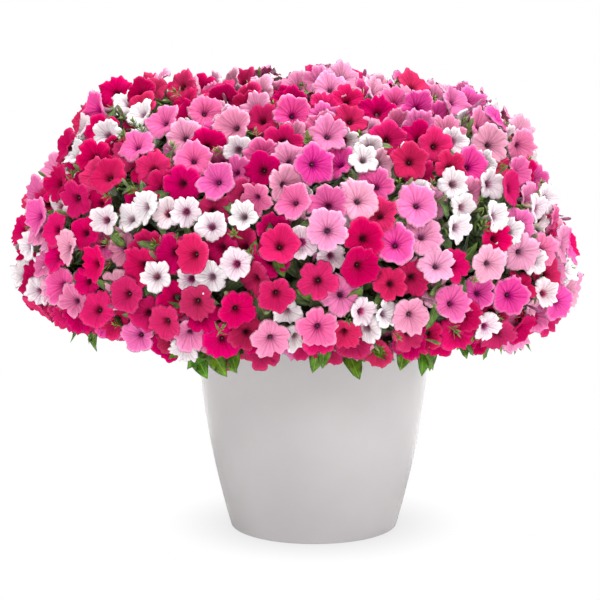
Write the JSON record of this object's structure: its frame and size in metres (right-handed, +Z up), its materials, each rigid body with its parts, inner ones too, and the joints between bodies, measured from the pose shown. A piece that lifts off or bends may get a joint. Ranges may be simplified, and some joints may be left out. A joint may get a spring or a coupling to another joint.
{
  "type": "potted petunia",
  "caption": "A container petunia in full bloom: rose, pink and white flowers over a broad leafy mound in a plain round pale grey pot.",
  "frame": {"origin": "centre of the pot's flat underside, on the surface that it stands on", "axes": "+Z up along the pot's axis; the viewer of the picture looks along +Y, with +X to the right"},
  "size_m": [0.7359, 0.7255, 0.6031],
  "materials": {
    "pot_plastic": "satin",
    "potting_mix": "matte",
    "rose_petals": "satin",
    "pink_petals": "satin",
    "white_petals": "satin",
    "leaf_green": "satin"
  },
  "bodies": {
    "root": {"pot": "pot_plastic", "potting_mix": "potting_mix", "shoot_tier1_01": "pink_petals", "shoot_tier2_01": "pink_petals", "shoot_tier2_02": "pink_petals", "shoot_tier2_03": "rose_petals", "shoot_tier2_04": "pink_petals", "shoot_tier2_05": "pink_petals", "shoot_tier3_01": "pink_petals", "shoot_tier3_02": "rose_petals", "shoot_tier3_03": "pink_petals", "shoot_tier3_04": "white_petals", "shoot_tier3_05": "rose_petals", "shoot_tier3_06": "rose_petals", "shoot_tier3_07": "pink_petals", "shoot_tier3_08": "rose_petals", "shoot_tier3_09": "pink_petals", "shoot_tier4_01": "white_petals", "shoot_tier4_02": "pink_petals", "shoot_tier4_03": "rose_petals", "shoot_tier4_04": "rose_petals", "shoot_tier4_05": "rose_petals", "shoot_tier4_06": "rose_petals", "shoot_tier4_07": "rose_petals", "shoot_tier4_08": "rose_petals", "shoot_tier4_09": "pink_petals", "shoot_tier4_10": "pink_petals", "shoot_tier4_11": "pink_petals", "shoot_tier5_01": "rose_petals", "shoot_tier5_02": "rose_petals", "shoot_tier5_03": "rose_petals", "shoot_tier5_04": "rose_petals", "shoot_tier5_05": "rose_petals", "shoot_tier5_06": "rose_petals", "shoot_tier5_07": "rose_petals", "shoot_tier5_08": "rose_petals", "shoot_tier5_09": "rose_petals", "shoot_tier5_10": "rose_petals"}
  },
  "joints": []
}
